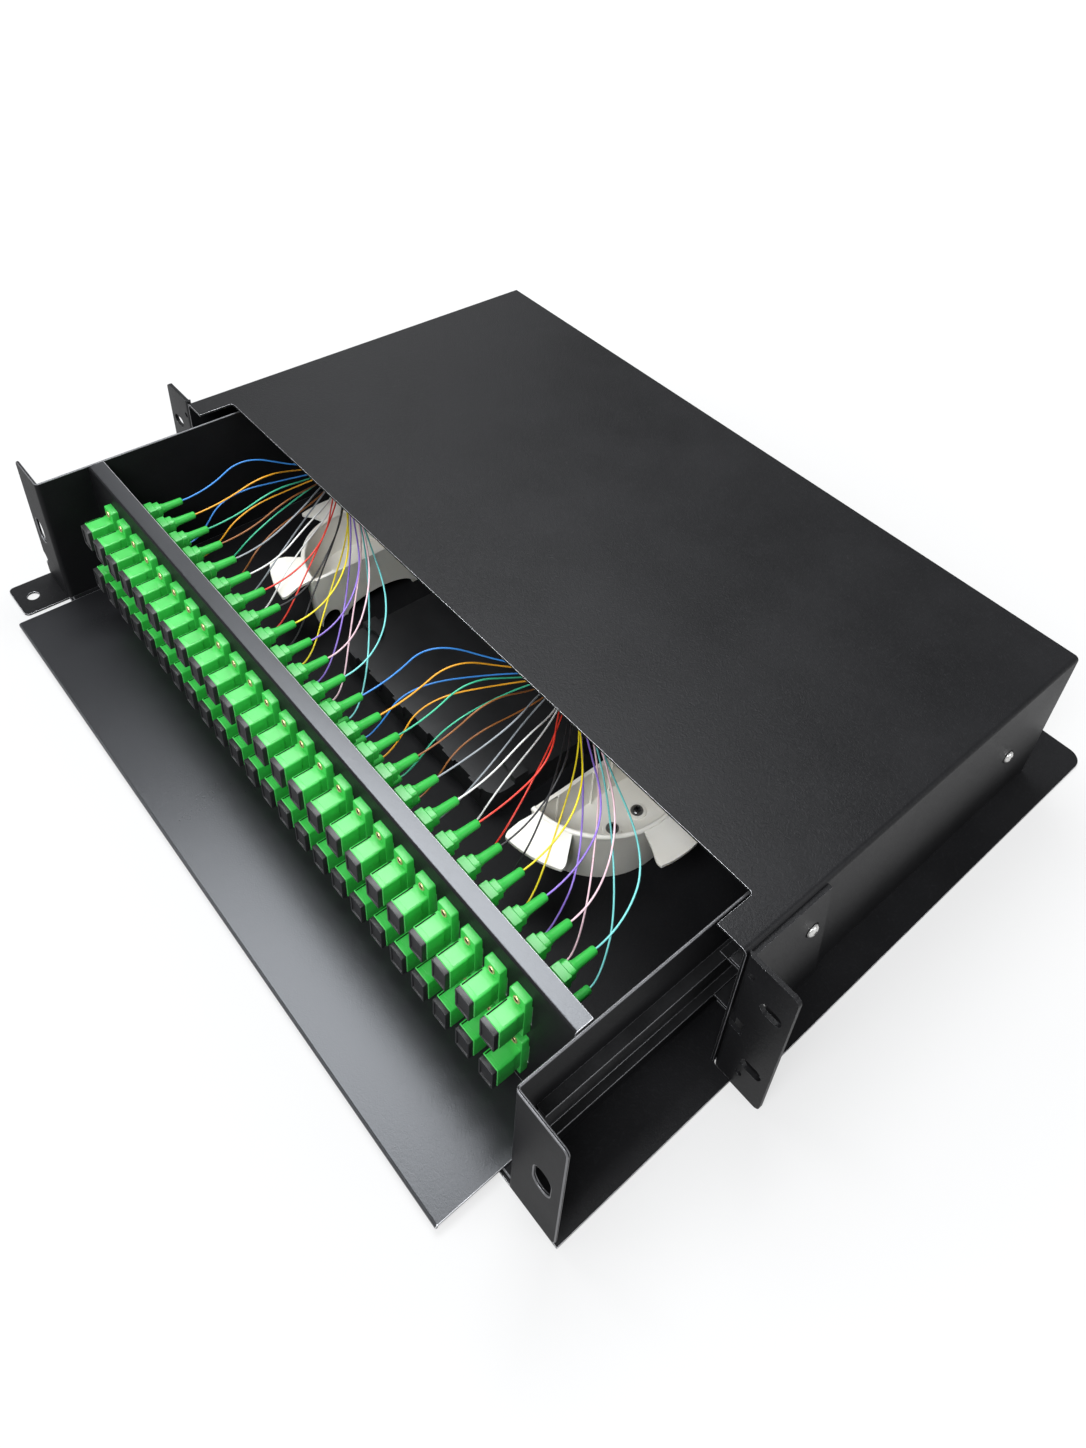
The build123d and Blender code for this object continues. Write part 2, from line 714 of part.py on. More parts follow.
def corner_radii(points):
    """The largest even bend at each corner of a route."""
    radii = []
    for before, corner, after in zip(points, points[1:], points[2:]):
        run_in = Vector(*corner) - Vector(*before)
        run_out = Vector(*after) - Vector(*corner)
        turn = radians(run_in.get_angle(run_out))
        radii.append(0.45 * min(run_in.length, run_out.length) / tan(turn / 2))
    return radii


def tube(points, section):
    """A plain tube along straight runs joined by tangent arcs."""
    path = FilletPolyline(*points, radius=corner_radii(points))
    start = Plane(origin=path @ 0, z_dir=path % 0)
    return sweep(start * section, path=path)


def fibre_bundle(half):
    """The sleeve in which one half's fibres run to the splice tray."""
    route = bundle_route(half)
    bundle = tube(route, RegularPolygon(bundle_radius, bundle_sides))
    print("bundle", half, "bends", [round(r, 1) for r in corner_radii(route)], "volume", round(bundle.volume))
    return bundle


def fibre_points(column, row):
    """One pigtail's route: straight from its boot, up and over, then into its half's bundle."""
    in_half = columns // 2
    number = column % in_half
    mouth = mouth_places["left" if column < in_half else "right"]
    x = column_places[column]
    z = row_heights[row]
    layer = (1.5 if row == "upper" else -0.5) - number % 2
    end_x = mouth + (number - (in_half - 1) / 2) * fibre_spread
    end_z = mouth_height + layer * fibre_layer
    sway = end_x - x
    bow = -fibre_bow * sway / (abs(sway) + fibre_bow)
    stray = sin(2.1 * column)
    lead, crest_depth, crest, settle, share = fibre_rises[row]
    return [(x, boot_end, z),
            (x, boot_end + lead, z),
            (x + 0.8 * bow + share * sway, boot_end + crest_depth, z + crest + 2 * stray),
            (x + 0.2 * bow + 0.58 * sway, mouth_depth - fibre_turn, end_z + settle + 0.5 * stray),
            (end_x, mouth_depth - fibre_run_in, end_z),
            (end_x, mouth_depth, end_z)]


def fibres(colour):
    """The pigtails of one colour: one in each half of each row."""
    section = Rectangle(fibre_side, fibre_side)
    number = colours.index(colour)
    half = columns // 2
    tubes = []
    for row in row_heights:
        for column in (number, number + half):
            points = fibre_points(column, row)
            tubes.append(tube(points, section))
            least = min(corner_radii(points))
            size = round(tubes[-1].volume, 1)
            print("fibre", colour, row, column, "least bend", round(least, 1), "volume", size)
    return group(tubes)


def main():
    os.makedirs("parts", exist_ok=True)
    parts = {"base_plate": base_plate(), "top_cover": top_cover(), "rear_panel": rear_panel(),
             "cable_grommets": cable_grommets(), "bracket_screws": bracket_screws(),
             "slide_screws": slide_screws(), "drawer_floor": drawer_floor(), "front_tray": front_tray(),
             "adapter_bar": adapter_bar(), "guide_screws": guide_screws(), "splice_tray": splice_tray(),
             "splice_tray_lid": splice_tray_lid(), "splice_holders": splice_holders(),
             "splice_sleeves": splice_sleeves(), "fibre_bundle_left": fibre_bundle("left"),
             "fibre_bundle_right": fibre_bundle("right")}
    pairs = {"ear_bracket": ear_bracket, "slide_outer": slide_outer, "slide_middle": slide_middle,
             "slide_inner": slide_inner, "drawer_side": drawer_side, "fibre_guide": fibre_guide}
    for name, make in pairs.items():
        parts[name + "_left"] = make(-1)
        parts[name + "_right"] = make(1)
    rows = {"adapters": adapters, "dust_caps": dust_caps, "connectors": connectors, "boots": boots}
    for name, make in rows.items():
        for row in row_heights:
            parts[name + "_" + row] = make(row)
    for colour in colours:
        parts["fibres_" + colour] = fibres(colour)
    for name, shape in parts.items():
        export_step(shape, "parts/" + name + ".step")


main()
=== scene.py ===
import json
from math import cos, pi, radians, sin
import bmesh
import bpy
from mathutils import Matrix, Vector

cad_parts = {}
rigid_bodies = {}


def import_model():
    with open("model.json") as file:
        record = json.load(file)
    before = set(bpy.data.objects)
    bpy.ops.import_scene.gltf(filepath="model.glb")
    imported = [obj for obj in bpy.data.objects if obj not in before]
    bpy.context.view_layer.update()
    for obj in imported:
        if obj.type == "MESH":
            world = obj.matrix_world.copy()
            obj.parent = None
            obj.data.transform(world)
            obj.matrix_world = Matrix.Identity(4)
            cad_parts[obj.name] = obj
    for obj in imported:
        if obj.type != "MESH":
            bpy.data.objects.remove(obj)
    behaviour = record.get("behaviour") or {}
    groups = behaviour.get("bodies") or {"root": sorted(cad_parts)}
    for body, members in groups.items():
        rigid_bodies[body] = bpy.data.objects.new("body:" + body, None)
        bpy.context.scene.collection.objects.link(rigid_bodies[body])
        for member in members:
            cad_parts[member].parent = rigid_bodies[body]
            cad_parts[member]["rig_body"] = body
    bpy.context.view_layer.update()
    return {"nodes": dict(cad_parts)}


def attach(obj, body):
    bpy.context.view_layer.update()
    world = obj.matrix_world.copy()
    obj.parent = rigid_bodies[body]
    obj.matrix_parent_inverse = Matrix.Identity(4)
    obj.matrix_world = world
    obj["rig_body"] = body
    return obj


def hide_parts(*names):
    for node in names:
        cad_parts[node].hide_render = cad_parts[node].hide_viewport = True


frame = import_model()
mm = 0.001  # sizes are written in mm, the frame is in metres


# A shader socket that can be added, multiplied and passed on to new nodes
class Wire:
    def __init__(self, tree, socket=None):
        self.tree = tree
        self.socket = socket

    def node(self, kind, settings=None, values=None, output=0):
        made = self.tree.nodes.new(kind)
        for key, value in (settings or {}).items():
            setattr(made, key, value)
        for key, value in (values or {}).items():
            if isinstance(value, Wire):
                self.tree.links.new(value.socket, made.inputs[key])
            else:
                made.inputs[key].default_value = value
        return Wire(self.tree, made.outputs[output])

    def __add__(self, other):
        return self.node("ShaderNodeMath", {"operation": "ADD"}, {0: self, 1: other})

    def __mul__(self, other):
        return self.node("ShaderNodeMath", {"operation": "MULTIPLY"}, {0: self, 1: other})

    __radd__ = __add__
    __rmul__ = __mul__


def feed(wire, shader, name):
    wire.tree.links.new(wire.socket, shader.inputs[name])


def noise(here, scale, detail, roughness, swirl=0.0):
    values = {"Vector": here, "Scale": scale, "Detail": detail, "Roughness": roughness, "Distortion": swirl}
    return here.node("ShaderNodeTexNoise", None, values)


def spread(value, low, high, first=0.0, last=1.0):
    return value.node("ShaderNodeMapRange", None, {0: value, 1: low, 2: high, 3: first, 4: last})


def blend(share, first, second):
    colours = {0: share, 6: first, 7: second}  # 6, 7 and output 2 are the colour sockets
    return share.node("ShaderNodeMix", {"data_type": "RGBA"}, colours, 2)


plainLook = {"detail": 2.0, "swirl": 0.0, "speck": 0.3, "strength": 0.4, "shader": {}}
mottle = {"detail": 3.0, "roughness": 0.6, "band": (0.3, 0.7), "speckBand": (0.55, 0.8),
          "broad": 0.6, "fine": 0.4}


def surface(name, ownLook):
    look = {**plainLook, "fleck": ownLook["second"], **ownLook}
    made = bpy.data.materials.new(name)
    made.use_nodes = True
    tree = made.node_tree
    shader = tree.nodes["Principled BSDF"]
    here = Wire(tree).node("ShaderNodeTexCoord", None, None, "Object")
    patches = noise(here, look["patch"], mottle["detail"], mottle["roughness"])
    grain = noise(here, look["grain"], look["detail"], mottle["roughness"], look["swirl"])
    broad = spread(patches, *mottle["band"])
    fine = spread(grain, *mottle["band"])
    speck = spread(grain, *mottle["speckBand"]) * look["speck"]
    colour = blend(broad, (*look["colour"], 1), (*look["second"], 1))
    feed(blend(speck, colour, (*look["fleck"], 1)), shader, "Base Color")
    mixed = mottle["broad"] * broad + mottle["fine"] * fine
    feed(spread(mixed, 0.0, 1.0, *look["rough"]), shader, "Roughness")
    relief = {"Strength": look["strength"], "Distance": look["relief"], "Height": grain}
    feed(here.node("ShaderNodeBump", None, relief), shader, "Normal")
    for key, value in look["shader"].items():
        shader.inputs[key].default_value = value
    return made


# Coated sheet steel, and the light metal colour on its bevels that stands as painted edge highlight
coatLook = {"colour": (0.007, 0.007, 0.0077), "second": (0.011, 0.011, 0.012), "patch": 16, "grain": 420,
            "swirl": 2.0, "detail": 3.0, "relief": 0.00022, "strength": 0.6, "rough": (0.36, 0.46),
            "speck": 0.5, "fleck": (0.022, 0.022, 0.024), "shader": {"Specular IOR Level": 0.19}}
coat = surface("blackCoat", coatLook)
satinLook = {"colour": (0.010, 0.010, 0.011), "second": (0.015, 0.015, 0.0165), "patch": 14, "grain": 520,
             "swirl": 2.0, "relief": 0.0001, "rough": (0.272, 0.292), "speck": 0.25,
             "fleck": (0.022, 0.022, 0.024),
             "shader": {"Specular IOR Level": 0.6, "Specular Tint": (0.92, 0.95, 1.0, 1.0)}}
satin = surface("satinCoat", satinLook)
# Painted sheen: a lighter, glossier copy of the satin coat, given only to the bar's upward faces
barSheenLook = {**satinLook, "rough": (0.29, 0.32),
           "shader": {"Specular IOR Level": 1.0, "Specular Tint": (0.92, 0.95, 1.0, 1.0)}}
barTopSheen = surface("barTopSheen", barSheenLook)
wallLook = {"colour": (0.007, 0.007, 0.0077), "second": (0.011, 0.011, 0.012), "patch": 18, "grain": 1200,
            "detail": 3.0, "relief": 0.00012, "strength": 0.6, "rough": (0.4, 0.52), "speck": 0.5,
            "fleck": (0.02, 0.02, 0.022), "shader": {"Specular IOR Level": 0.09}}
wallCoat = surface("wallCoat", wallLook)
# Painted highlight: a light metallic colour on the bevel faces, so the sheet edges read as bright lines
edgeHighlightLook = {"colour": (0.62, 0.62, 0.64), "second": (0.82, 0.82, 0.85), "patch": 90, "grain": 1600,
            "relief": 0.00002, "rough": (0.28, 0.38), "shader": {"Metallic": 0.75}}
edgeHighlight = surface("paintedEdgeHighlight", edgeHighlightLook)
# Painted highlight, dimmer: a grey metallic colour on the bevels of the slides and drawer sheet, for the
# light lines along them
railEdgeHighlightLook = {"colour": (0.13, 0.13, 0.136), "second": (0.2, 0.2, 0.21), "patch": 60, "grain": 1600,
                "relief": 0.00002, "rough": (0.3, 0.4), "shader": {"Metallic": 0.6}}
railEdgeHighlight = surface("railEdgeHighlight", railEdgeHighlightLook)

# Bare and plated metal
slideLook = {"colour": (0.02, 0.02, 0.021), "second": (0.035, 0.035, 0.037), "patch": 40, "grain": 900,
             "relief": 0.00015, "rough": (0.3, 0.45), "shader": {"Metallic": 0.6}}
slideSteel = surface("slideSteel", slideLook)
screwLook = {"colour": (0.02, 0.02, 0.021), "second": (0.04, 0.04, 0.042), "patch": 300, "grain": 1800,
             "relief": 0.00003, "rough": (0.18, 0.26),
             "shader": {"Specular IOR Level": 1.0, "Coat Weight": 0.8}}
screwSteel = surface("screwSteel", screwLook)
nickelLook = {"colour": (0.82, 0.81, 0.79), "second": (0.68, 0.67, 0.65), "patch": 220, "grain": 1800,
              "relief": 0.00006, "rough": (0.22, 0.34), "shader": {"Metallic": 0.55}}
nickel = surface("nickelSteel", nickelLook)
brassLook = {"colour": (0.78, 0.62, 0.36), "second": (0.66, 0.48, 0.24), "patch": 260, "grain": 2400,
             "relief": 0.00004, "rough": (0.16, 0.26), "shader": {"Metallic": 0.6}}
brass = surface("eyeletBrass", brassLook)

# Plastics and rubber
rubberLook = {"colour": (0.012, 0.012, 0.012), "second": (0.022, 0.022, 0.021), "patch": 60, "grain": 1100,
              "relief": 0.0002, "rough": (0.62, 0.78)}
rubber = surface("grommetRubber", rubberLook)
greenLook = {"colour": (0.024, 0.42, 0.045), "second": (0.034, 0.52, 0.07), "patch": 55, "grain": 2200,
             "relief": 0.0001, "rough": (0.36, 0.46), "speck": 0.2, "fleck": (0.06, 0.55, 0.12),
             "shader": {"Subsurface Weight": 0.12, "Subsurface Radius": (0.4, 1.0, 0.4),
                        "Subsurface Scale": 0.002, "Specular IOR Level": 0.95}}
green = surface("adapterGreen", greenLook)
bootLook = {"colour": (0.022, 0.37, 0.042), "second": (0.032, 0.46, 0.062), "patch": 70, "grain": 1700,
            "relief": 0.00012, "rough": (0.38, 0.52)}
bootGreen = surface("bootGreen", bootLook)
capLook = {"colour": (0.014, 0.014, 0.015), "second": (0.021, 0.021, 0.022), "patch": 80, "grain": 2000,
           "relief": 0.0001, "rough": (0.3, 0.44)}
capBlack = surface("capBlack", capLook)
# Painted shade: a near-black, dull material laid in hollows, slots and round screw heads where shade falls
paintedShadeLook = {"colour": (0.004, 0.004, 0.004), "second": (0.008, 0.008, 0.008), "patch": 90, "grain": 1500,
            "relief": 0.0001, "rough": (0.6, 0.8), "shader": {"Specular IOR Level": 0.05}}
paintedShade = surface("paintedShadeMaterial", paintedShadeLook)
ivoryLook = {"colour": (0.88, 0.86, 0.80), "second": (0.83, 0.80, 0.73), "patch": 22, "grain": 1500,
             "relief": 0.0001, "rough": (0.32, 0.46), "speck": 0.15, "fleck": (0.84, 0.83, 0.78),
             "shader": {"Subsurface Weight": 0.1, "Subsurface Radius": (1.0, 0.9, 0.7),
                        "Subsurface Scale": 0.003}}
ivory = surface("guideIvory", ivoryLook)
mouldLook = {"colour": (0.013, 0.013, 0.014), "second": (0.02, 0.02, 0.021), "patch": 30, "grain": 1700,
             "relief": 0.00015, "rough": (0.35, 0.5)}
mould = surface("trayMould", mouldLook)
sleeveLook = {"colour": (0.6, 0.62, 0.64), "second": (0.7, 0.72, 0.74), "patch": 120, "grain": 1500,
              "relief": 0.00008, "rough": (0.1, 0.2), "shader": {"Transmission Weight": 0.6}}
clear = surface("sleeveClear", sleeveLook)
wrapLook = {"colour": (0.02, 0.02, 0.021), "second": (0.032, 0.032, 0.033), "patch": 60, "grain": 1400,
            "relief": 0.0002, "rough": (0.4, 0.55)}
wrap = surface("bundleWrap", wrapLook)
print("materials made")


def settle(made, materials, node):
    for material in materials:
        made.data.materials.append(material)
    bpy.context.scene.collection.objects.link(made)
    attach(made, frame["nodes"][node]["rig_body"])
    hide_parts(node)
    return made


def soften(mesh, angle):
    mesh.polygons.foreach_set("use_smooth", [True] * len(mesh.polygons))
    mesh.set_sharp_from_angle(angle=radians(angle))


weld = 1e-6  # metres
dressing = {"flat": 1, "sharp": 30, "bevelFrom": 32, "sheenFacing": 0.9}  # angles in degrees


def dressNode(name, materials, bevel, segments=2, highlightSlot=-1, sheenSlot=0):
    mesh = frame["nodes"][name].data.copy()
    mesh.materials.clear()
    shape = bmesh.new()
    shape.from_mesh(mesh)
    bmesh.ops.remove_doubles(shape, verts=shape.verts, dist=weld)
    flat = radians(dressing["flat"])
    bmesh.ops.dissolve_limit(shape, angle_limit=flat, verts=shape.verts, edges=shape.edges)
    shape.normal_update()
    # upward faces can take a separate slot, used for the bar's painted sheen
    for face in shape.faces:
        face.material_index = sheenSlot if face.normal.z > dressing["sheenFacing"] else 0
    shape.to_mesh(mesh)
    shape.free()
    if "custom_normal" in mesh.attributes:
        mesh.attributes.remove(mesh.attributes["custom_normal"])
    soften(mesh, dressing["sharp"])
    made = bpy.data.objects.new(name + "Dressed", mesh)
    turn = made.modifiers.new("edges", "BEVEL")
    turn.width = bevel * mm
    turn.segments = segments
    turn.limit_method = "ANGLE"
    turn.angle_limit = radians(dressing["bevelFrom"])
    turn.harden_normals = True
    turn.use_clamp_overlap = True
    # the bevel faces take the highlight slot, the painted edge highlight where one is given
    turn.material = highlightSlot
    return settle(made, materials, name)


def solidsOf(name):
    # the low and high corner of each separate solid of a node, in mm, from left to right
    shape = bmesh.new()
    shape.from_mesh(frame["nodes"][name].data)
    bmesh.ops.remove_doubles(shape, verts=shape.verts, dist=weld)
    found = []
    met = set()
    for first in shape.verts:
        if first in met:
            continue
        met.add(first)
        island = []
        waiting = [first]
        while waiting:
            vert = waiting.pop()
            island.append(vert.co / mm)
            reached = {link.other_vert(vert) for link in vert.link_edges} - met
            met |= reached
            waiting += reached
        low = Vector([round(min(values), 4) for values in zip(*island)])
        high = Vector([round(max(values), 4) for values in zip(*island)])
        found.append((low, high))
    shape.free()
    return sorted(found, key=lambda corners: tuple(corners[0]))


def roundRect(halfWide, halfHigh, corner, y, steps=3):
    ring = []
    for quarter, (side, rise) in enumerate(((1, 1), (-1, 1), (-1, -1), (1, -1))):
        for k in range(steps + 1):
            angle = pi / 2 * (quarter + k / steps)
            x = side * (halfWide - corner) + corner * cos(angle)
            z = rise * (halfHigh - corner) + corner * sin(angle)
            ring.append(Vector((x, y, z)))
    return ring


def boxRings(halfWide, halfHigh, corner, profile):
    return [roundRect(halfWide - inset, halfHigh - inset, corner, y) for inset, y in profile]


def circle(radius, y, sides=16):
    angles = [2 * pi * k / sides for k in range(sides)]
    return [Vector((radius * cos(angle), y, radius * sin(angle))) for angle in angles]


def moved(rings, x, z):
    return [[point + Vector((x, 0, z)) for point in ring] for ring in rings]


def loft(shape, rings, slot=0, ends=(True, True)):
    rows = [[shape.verts.new(point * mm) for point in ring] for ring in rings]
    faces = []
    for low, high in zip(rows, rows[1:]):
        for k in range(len(low)):
            after = (k + 1) % len(low)
            faces.append(shape.faces.new((low[k], low[after], high[after], high[k])))
    if ends[0]:
        faces.append(shape.faces.new(rows[0][::-1]))
    if ends[1]:
        faces.append(shape.faces.new(rows[-1]))
    for face in faces:
        face.material_index = slot


def template(build):
    shape = bmesh.new()
    build(shape)
    bmesh.ops.recalc_face_normals(shape, faces=shape.faces)
    mesh = bpy.data.meshes.new(build.__name__)
    shape.to_mesh(mesh)
    shape.free()
    return mesh


def repeat(name, source, places, materials, node, angle=35):
    shape = bmesh.new()
    for place in places:
        shape.from_mesh(source)
        shape.verts.ensure_lookup_table()
        bmesh.ops.transform(shape, matrix=place, verts=shape.verts[-len(source.vertices):])
    mesh = bpy.data.meshes.new(name)
    shape.to_mesh(mesh)
    shape.free()
    soften(mesh, angle)
    return settle(bpy.data.objects.new(name, mesh), materials, node)


def at(x, y, z):
    return Matrix.Translation((x * mm, y * mm, z * mm))


# Sheet metal, bevels in mm; slot 1 is the painted edge highlight on the bevels
chassisEdge = {"bevel": 0.45, "highlightSlot": 1}
for name in ("top_cover", "base_plate", "rear_panel", "ear_bracket_left", "ear_bracket_right"):
    dressNode(name, (coat, edgeHighlight), **chassisEdge)
trayEdge = {"bevel": 0.3, "highlightSlot": 1}
dressNode("front_tray", (satin, edgeHighlight), **trayEdge)
barEdge = {"bevel": 0.3, "highlightSlot": 1, "sheenSlot": 2}  # only the bar's upward faces take the painted sheen, a lighter and glossier copy of the coat
dressNode("adapter_bar", (wallCoat, edgeHighlight, barTopSheen), **barEdge)
drawerEdge = {"bevel": 0.58, "segments": 3, "highlightSlot": 1}
for name in ("drawer_side_left", "drawer_side_right", "drawer_floor"):
    dressNode(name, (wallCoat, railEdgeHighlight), **drawerEdge)
slideEdge = {"bevel": 0.2, "highlightSlot": 1}
for side in ("left", "right"):
    for member in ("outer", "middle", "inner"):
        dressNode("slide_" + member + "_" + side, (slideSteel, railEdgeHighlight), **slideEdge)
print("sheet metal dressed")

# Fibre guides and the rounded bead on their rims
guideEdge = {"bevel": 0.7, "segments": 3}
for side in ("left", "right"):
    dressNode("fibre_guide_" + side, (ivory,), **guideEdge)
rim = {"radius": 41.0, "below": 0.3, "bead": 1.3, "steps": 48, "sides": 12}
guideLow, guideHigh = solidsOf("fibre_guide_right")[0]


def guideRim(shape):
    lift = Vector((0, 0, guideHigh.z - rim["below"]))
    rings = []
    for k in range(rim["steps"] + 1):
        angle = pi * (k / rim["steps"] - 0.5)
        outward = Vector((cos(angle), sin(angle), 0))
        middle = outward * rim["radius"] + lift
        bead = circle(rim["bead"], 0, rim["sides"])
        rings.append([middle + outward * point.x + Vector((0, 0, point.z)) for point in bead])
    loft(shape, rings)


rimShape = template(guideRim)
rimY = (guideLow.y + guideHigh.y) / 2
rimPlaces = {"left": at(-guideLow.x, rimY, 0) @ Matrix.Rotation(pi, 4, "Z"), "right": at(guideLow.x, rimY, 0)}
for side, place in rimPlaces.items():
    repeat("fibre_guide_" + side + "Rim", rimShape, [place], (ivory,), "fibre_guide_" + side)

# Splice tray
spliceEdges = {"splice_tray": {"bevel": 0.4}, "splice_tray_lid": {"bevel": 0.5},
               "splice_holders": {"bevel": 0.2, "segments": 1}}
for name, rounding in spliceEdges.items():
    dressNode(name, (mould,), **rounding)
print("mouldings dressed")

# Adapters, measured from the bar's front face: minus is towards the front
barFront = solidsOf("adapter_bar")[0][0].y
adapter = {"wide": 4.6, "high": 6.45, "corner": 0.7, "chamfer": 0.3, "front": -15.0, "step": -6.6,
           "waist": 4.3, "waistEnd": -1.0, "rearStart": -0.5, "rear": 12.0, "rearInset": 0.05,
           "rearChamfer": 0.4}
flange = {"high": 12.5, "thick": 3.5, "corner": 0.9,
          "profile": ((0.35, 0.0), (0.1, 0.1), (0.0, 0.4), (0.0, 3.48))}  # inset and depth
eyelet = {"off": 9.5, "rise": 0.55, "pit": ((1.2, 0.3), (0.6, 0.28)),  # radius and depth
          "profile": ((1.85, 0.6), (1.85, 0.3), (1.73, 0.08), (1.55, 0.0), (1.4, 0.0), (1.2, 0.15),
                      (1.2, 0.53))}
# Painted shade: a thin near-black strip on the top and bottom faces, standing for the shade in a slot
slotShadeLine = {"wide": 0.3, "high": 0.05, "corner": 0.04, "fromFront": 0.5, "fromFlange": 1.6, "fromSide": 1.0}
raisedPlate = {"inset": 1.3, "high": 0.12, "corner": 0.1, "fromFront": 2.2, "aside": 0.4}


def adapterBody(shape):
    wide, high, corner, chamfer = [adapter[key] for key in ("wide", "high", "corner", "chamfer")]
    front, step, rear = [adapter[key] for key in ("front", "step", "rear")]
    nose = boxRings(wide, high, corner, ((chamfer, front), (0, front + chamfer), (0, step - chamfer)))
    waist = boxRings(adapter["waist"], high, corner, ((0, step), (0, adapter["waistEnd"])))
    loft(shape, nose + waist)
    face = -flange["thick"]
    earProfile = [(inset, face + depth) for inset, depth in flange["profile"]]
    loft(shape, boxRings(wide, flange["high"], flange["corner"], earProfile))
    inset, slope = adapter["rearInset"], adapter["rearChamfer"]
    tail = ((inset, adapter["rearStart"]), (inset, rear - slope), (slope, rear))
    loft(shape, boxRings(wide, high, corner, tail))
    for rise in (-1, 1):
        top = face - eyelet["rise"]
        collar = [circle(radius, top + depth) for radius, depth in eyelet["profile"]]
        loft(shape, moved(collar, 0, rise * eyelet["off"]), 1, (True, False))
        # the shallow pit in each eyelet is painted shade (slot 2), standing for the depth of the hole
        pit = [circle(radius, top + depth) for radius, depth in eyelet["pit"]]
        loft(shape, moved(pit, 0, rise * eyelet["off"]), 2, (False, True))
    slotShadeSize = (slotShadeLine["wide"], slotShadeLine["high"], slotShadeLine["corner"])
    slotShadeEnds = (front + slotShadeLine["fromFront"], face - slotShadeLine["fromFlange"])
    plateSize = (wide - raisedPlate["inset"], raisedPlate["high"], raisedPlate["corner"])
    plateEnds = (front + raisedPlate["fromFront"], step)
    for rise in (-1, 1):
        # the strip takes slot 2, painted shade
        shadeStrip = [roundRect(*slotShadeSize, y, 1) for y in slotShadeEnds]
        loft(shape, moved(shadeStrip, slotShadeLine["fromSide"] - wide, rise * high), 2)
        plate = [roundRect(*plateSize, y, 1) for y in plateEnds]
        loft(shape, moved(plate, raisedPlate["aside"], rise * high))


# Dust caps: a rim round a sunk face
cap = {"wide": 4.3, "high": 6.15, "corner": 0.5, "thick": 2.2, "rim": 0.85, "sunk": 0.6,
       "outer": ((0.0, 0.25), (0.07, 0.07), (0.25, 0.0)),  # inset and depth behind the face
       "lip": 0.12, "lipCorner": 0.3, "pitCorner": 0.25, "draft": 0.08}


def capPlate(shape):
    wide, high, rimInset = cap["wide"], cap["high"], cap["rim"]
    face = adapter["front"] - cap["thick"]
    outside = [(0.0, adapter["front"])] + [(inset, face + depth) for inset, depth in cap["outer"]]
    lip = ((rimInset - cap["lip"], face),)
    pit = ((rimInset, face + cap["lip"]), (rimInset + cap["draft"], face + cap["sunk"]))
    rings = boxRings(wide, high, cap["corner"], outside)
    rings += boxRings(wide, high, cap["lipCorner"], lip)
    rings += boxRings(wide, high, cap["pitCorner"], pit)
    loft(shape, rings)


# Connectors: a grooved housing and a round-cornered neck
plug = {"wide": 4.2, "high": 3.9, "corner": 0.35, "end": 20.2, "chamfer": 0.3, "chamferLength": 0.35,
        "groove": 15.4, "grooveLength": 0.8, "grooveSlope": 0.05, "grooveWide": 3.9, "grooveHigh": 3.0,
        "neck": 3.4, "neckCorner": 1.2, "neckStart": 20.3, "neckEnd": 23.4,
        "neckTip": ((0.0, -0.5), (0.4, -0.1), (0.7, 0.0))}  # inset and place from the neck's end


def connectorPlug(shape):
    wide, high, corner, end = [plug[key] for key in ("wide", "high", "corner", "end")]
    groove, slope = plug["groove"], plug["grooveSlope"]
    grooveEnd = groove + plug["grooveLength"]
    housing = ((0, grooveEnd), (0, end - plug["chamferLength"]), (plug["chamfer"], end))
    neck = [(0, plug["neckStart"])] + [(inset, plug["neckEnd"] + y) for inset, y in plug["neckTip"]]
    sunk = ((0, groove + slope), (0, grooveEnd - slope))
    rings = boxRings(wide, high, corner, ((0, adapter["rear"]), (0, groove)))
    rings += boxRings(plug["grooveWide"], plug["grooveHigh"], corner, sunk)
    rings += boxRings(wide, high, corner, housing)
    rings += boxRings(plug["neck"], plug["neck"], plug["neckCorner"], neck)
    loft(shape, rings)


# Boots: radius and place from the start, then from the end
boot = {"start": 23.2, "end": 35.4, "base": ((2.75, 0.0), (2.75, 1.0), (2.4, 2.0), (2.3, 2.6)),
        "tip": ((2.0, -0.5), (1.8, -0.12), (1.5, 0.0), (0.6, 0.0))}


def bootTaper(shape):
    base = [circle(radius, boot["start"] + y) for radius, y in boot["base"]]
    loft(shape, base + [circle(radius, boot["end"] + y) for radius, y in boot["tip"]])


def middleOf(corners):
    return (corners[0] + corners[1]) / 2


upperRow = solidsOf("adapters_upper")
columns = len(upperRow)
firstX, lastX = middleOf(upperRow[0]).x, middleOf(upperRow[-1]).x
columnPlaces = [firstX + (lastX - firstX) * k / (columns - 1) for k in range(columns)]
rows = {row: middleOf(solidsOf("adapters_" + row)[0]).z for row in ("upper", "lower")}
pieces = {"adapters": (adapterBody, (green, brass, paintedShade)), "dust_caps": (capPlate, (capBlack,)),
          "connectors": (connectorPlug, (green,)), "boots": (bootTaper, (bootGreen,))}
for kind, (build, materials) in pieces.items():
    source = template(build)
    for row, height in rows.items():
        places = [at(x, barFront, height) for x in columnPlaces]
        repeat(kind + "_" + row + "Shape", source, places, materials, kind + "_" + row)
print("adapters made")

# Screws: a domed head whose cross recess is lined with painted shade; the screws in coated sheet also sit on
# a flat ring of painted shade
screw = {"radius": 3.2, "height": 1.9, "sides": 24, "turn": 0.4,  # the dome holds inset and lift
         "dome": ((0.1, 0.0), (0.0, 0.15), (0.0, 0.5), (0.25, 1.0), (0.7, 1.45), (1.3, 1.75)),
         "drive": 1.25, "arm": 0.34, "reach": 1.1, "deep": 0.9, "narrowing": 0.6,
         "ring": 3.9, "shadeRingRise": 0.15, "shadeRingInside": 3.0}
upright = Matrix.Rotation(radians(-90), 3, "X")


def headRings(profile):
    return [[upright @ point for point in circle(radius, -lift, screw["sides"])] for radius, lift in profile]


